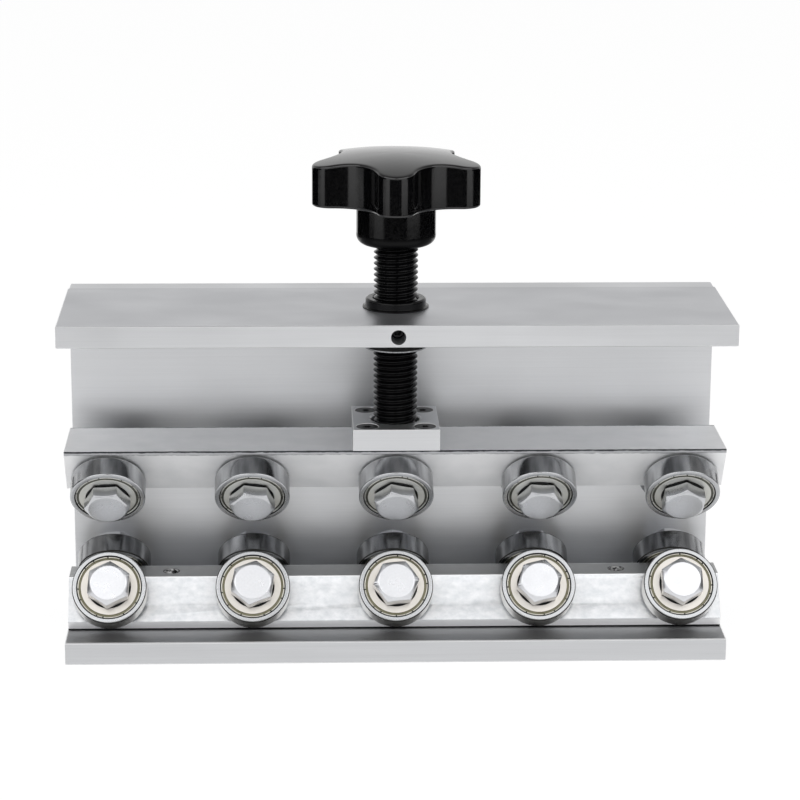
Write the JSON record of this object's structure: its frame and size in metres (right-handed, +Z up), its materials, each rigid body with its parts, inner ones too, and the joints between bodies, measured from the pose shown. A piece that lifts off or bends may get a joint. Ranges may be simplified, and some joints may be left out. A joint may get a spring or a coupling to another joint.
{
  "type": "tube straightener",
  "caption": "Bench tube straightener: rows of angled ball-bearing rollers on a fixed lower beam and a screw-lowered upper beam grip a tube drawn through between them.",
  "frame": {"origin": "on the clamp screw's axis, at the underside of the bottom plate", "axes": "+X along the tube's path, -Y towards the user (the open side of the frame), +Z up along the clamp screw"},
  "size_m": [0.231, 0.0666, 0.1748],
  "materials": {
    "satin_aluminium": "satin, fine brushed",
    "milled_aluminium": "milled, light cutter marks",
    "bearing_steel": "ground, bright edges",
    "zinc_plate": "bright zinc plated",
    "turned_steel": "turned",
    "blackened_steel": "black oxide, oiled",
    "black_screw_steel": "black oxide",
    "black_phenolic": "polished",
    "polyamide": "moulded"
  },
  "bodies": {
    "frame": {"back_plate": "satin_aluminium", "top_plate": "satin_aluminium", "bottom_plate": "satin_aluminium", "frame_screws": "black_screw_steel", "lower_beam": "milled_aluminium", "lower_beam_screws": "black_screw_steel", "threaded_bush": "blackened_steel", "bush_set_screw": "black_screw_steel", "roller_bolts_lower_front": "zinc_plate", "inner_races_lower_front": "bearing_steel", "bearing_balls_lower_front": "bearing_steel", "ball_cages_lower_front": "polyamide", "roller_spacers_lower_front": "turned_steel", "roller_bolts_lower_rear": "zinc_plate", "inner_races_lower_rear": "bearing_steel", "bearing_balls_lower_rear": "bearing_steel", "ball_cages_lower_rear": "polyamide", "roller_spacers_lower_rear": "turned_steel"},
    "upper_beam": {"upper_beam": "milled_aluminium", "keeper_plate": "satin_aluminium", "keeper_screws": "black_screw_steel", "roller_bolts_upper_front": "zinc_plate", "inner_races_upper_front": "bearing_steel", "bearing_balls_upper_front": "bearing_steel", "ball_cages_upper_front": "polyamide", "roller_spacers_upper_front": "turned_steel", "roller_bolts_upper_rear": "zinc_plate", "inner_races_upper_rear": "bearing_steel", "bearing_balls_upper_rear": "bearing_steel", "ball_cages_upper_rear": "polyamide", "roller_spacers_upper_rear": "turned_steel"},
    "clamp_screw": {"clamp_screw": "blackened_steel", "screw_foot": "turned_steel", "star_knob": "black_phenolic", "knob_insert": "turned_steel"},
    "roller_upper_front_1": {"roller_upper_front_1": "bearing_steel"},
    "roller_upper_front_2": {"roller_upper_front_2": "bearing_steel"},
    "roller_upper_front_3": {"roller_upper_front_3": "bearing_steel"},
    "roller_upper_front_4": {"roller_upper_front_4": "bearing_steel"},
    "roller_upper_front_5": {"roller_upper_front_5": "bearing_steel"},
    "roller_upper_rear_1": {"roller_upper_rear_1": "bearing_steel"},
    "roller_upper_rear_2": {"roller_upper_rear_2": "bearing_steel"},
    "roller_upper_rear_3": {"roller_upper_rear_3": "bearing_steel"},
    "roller_upper_rear_4": {"roller_upper_rear_4": "bearing_steel"},
    "roller_upper_rear_5": {"roller_upper_rear_5": "bearing_steel"},
    "roller_lower_front_1": {"roller_lower_front_1": "bearing_steel"},
    "roller_lower_front_2": {"roller_lower_front_2": "bearing_steel"},
    "roller_lower_front_3": {"roller_lower_front_3": "bearing_steel"},
    "roller_lower_front_4": {"roller_lower_front_4": "bearing_steel"},
    "roller_lower_front_5": {"roller_lower_front_5": "bearing_steel"},
    "roller_lower_rear_1": {"roller_lower_rear_1": "bearing_steel"},
    "roller_lower_rear_2": {"roller_lower_rear_2": "bearing_steel"},
    "roller_lower_rear_3": {"roller_lower_rear_3": "bearing_steel"},
    "roller_lower_rear_4": {"roller_lower_rear_4": "bearing_steel"},
    "roller_lower_rear_5": {"roller_lower_rear_5": "bearing_steel"}
  },
  "joints": [
    {"name": "beam_slide", "type": "slide", "parent": "frame", "child": "upper_beam", "axis": [0, 0, 1], "range_m": [-0.01, 0.024]},
    {"name": "screw_turn", "type": "hinge", "parent": "upper_beam", "child": "clamp_screw", "pos_m": [0, 0, 0.0765], "axis": [0, 0, 1], "range_deg": [-1805, 4325]},
    {"name": "spin_upper_front_1", "type": "hinge", "parent": "upper_beam", "child": "roller_upper_front_1", "pos_m": [-0.1, -0.00827, 0.06104], "axis": [0, -0.829, -0.5592], "continuous": true},
    {"name": "spin_upper_front_2", "type": "hinge", "parent": "upper_beam", "child": "roller_upper_front_2", "pos_m": [-0.05, -0.00827, 0.06104], "axis": [0, -0.829, -0.5592], "continuous": true},
    {"name": "spin_upper_front_3", "type": "hinge", "parent": "upper_beam", "child": "roller_upper_front_3", "pos_m": [0, -0.00827, 0.06104], "axis": [0, -0.829, -0.5592], "continuous": true},
    {"name": "spin_upper_front_4", "type": "hinge", "parent": "upper_beam", "child": "roller_upper_front_4", "pos_m": [0.05, -0.00827, 0.06104], "axis": [0, -0.829, -0.5592], "continuous": true},
    {"name": "spin_upper_front_5", "type": "hinge", "parent": "upper_beam", "child": "roller_upper_front_5", "pos_m": [0.1, -0.00827, 0.06104], "axis": [0, -0.829, -0.5592], "continuous": true},
    {"name": "spin_upper_rear_1", "type": "hinge", "parent": "upper_beam", "child": "roller_upper_rear_1", "pos_m": [-0.1, 0.00827, 0.06104], "axis": [0, 0.829, -0.5592], "continuous": true},
    {"name": "spin_upper_rear_2", "type": "hinge", "parent": "upper_beam", "child": "roller_upper_rear_2", "pos_m": [-0.05, 0.00827, 0.06104], "axis": [0, 0.829, -0.5592], "continuous": true},
    {"name": "spin_upper_rear_3", "type": "hinge", "parent": "upper_beam", "child": "roller_upper_rear_3", "pos_m": [0, 0.00827, 0.06104], "axis": [0, 0.829, -0.5592], "continuous": true},
    {"name": "spin_upper_rear_4", "type": "hinge", "parent": "upper_beam", "child": "roller_upper_rear_4", "pos_m": [0.05, 0.00827, 0.06104], "axis": [0, 0.829, -0.5592], "continuous": true},
    {"name": "spin_upper_rear_5", "type": "hinge", "parent": "upper_beam", "child": "roller_upper_rear_5", "pos_m": [0.1, 0.00827, 0.06104], "axis": [0, 0.829, -0.5592], "continuous": true},
    {"name": "spin_lower_front_1", "type": "hinge", "parent": "frame", "child": "roller_lower_front_1", "pos_m": [-0.1, -0.00962, 0.01928], "axis": [0, -0.829, 0.5592], "continuous": true},
    {"name": "spin_lower_front_2", "type": "hinge", "parent": "frame", "child": "roller_lower_front_2", "pos_m": [-0.05, -0.00962, 0.01928], "axis": [0, -0.829, 0.5592], "continuous": true},
    {"name": "spin_lower_front_3", "type": "hinge", "parent": "frame", "child": "roller_lower_front_3", "pos_m": [0, -0.00962, 0.01928], "axis": [0, -0.829, 0.5592], "continuous": true},
    {"name": "spin_lower_front_4", "type": "hinge", "parent": "frame", "child": "roller_lower_front_4", "pos_m": [0.05, -0.00962, 0.01928], "axis": [0, -0.829, 0.5592], "continuous": true},
    {"name": "spin_lower_front_5", "type": "hinge", "parent": "frame", "child": "roller_lower_front_5", "pos_m": [0.1, -0.00962, 0.01928], "axis": [0, -0.829, 0.5592], "continuous": true},
    {"name": "spin_lower_rear_1", "type": "hinge", "parent": "frame", "child": "roller_lower_rear_1", "pos_m": [-0.1, 0.00962, 0.01928], "axis": [0, 0.829, 0.5592], "continuous": true},
    {"name": "spin_lower_rear_2", "type": "hinge", "parent": "frame", "child": "roller_lower_rear_2", "pos_m": [-0.05, 0.00962, 0.01928], "axis": [0, 0.829, 0.5592], "continuous": true},
    {"name": "spin_lower_rear_3", "type": "hinge", "parent": "frame", "child": "roller_lower_rear_3", "pos_m": [0, 0.00962, 0.01928], "axis": [0, 0.829, 0.5592], "continuous": true},
    {"name": "spin_lower_rear_4", "type": "hinge", "parent": "frame", "child": "roller_lower_rear_4", "pos_m": [0.05, 0.00962, 0.01928], "axis": [0, 0.829, 0.5592], "continuous": true},
    {"name": "spin_lower_rear_5", "type": "hinge", "parent": "frame", "child": "roller_lower_rear_5", "pos_m": [0.1, 0.00962, 0.01928], "axis": [0, 0.829, 0.5592], "continuous": true}
  ],
  "couplings": [
    {"joint": "screw_turn", "follows": "beam_slide", "rad_per_m": 3141.6}
  ]
}
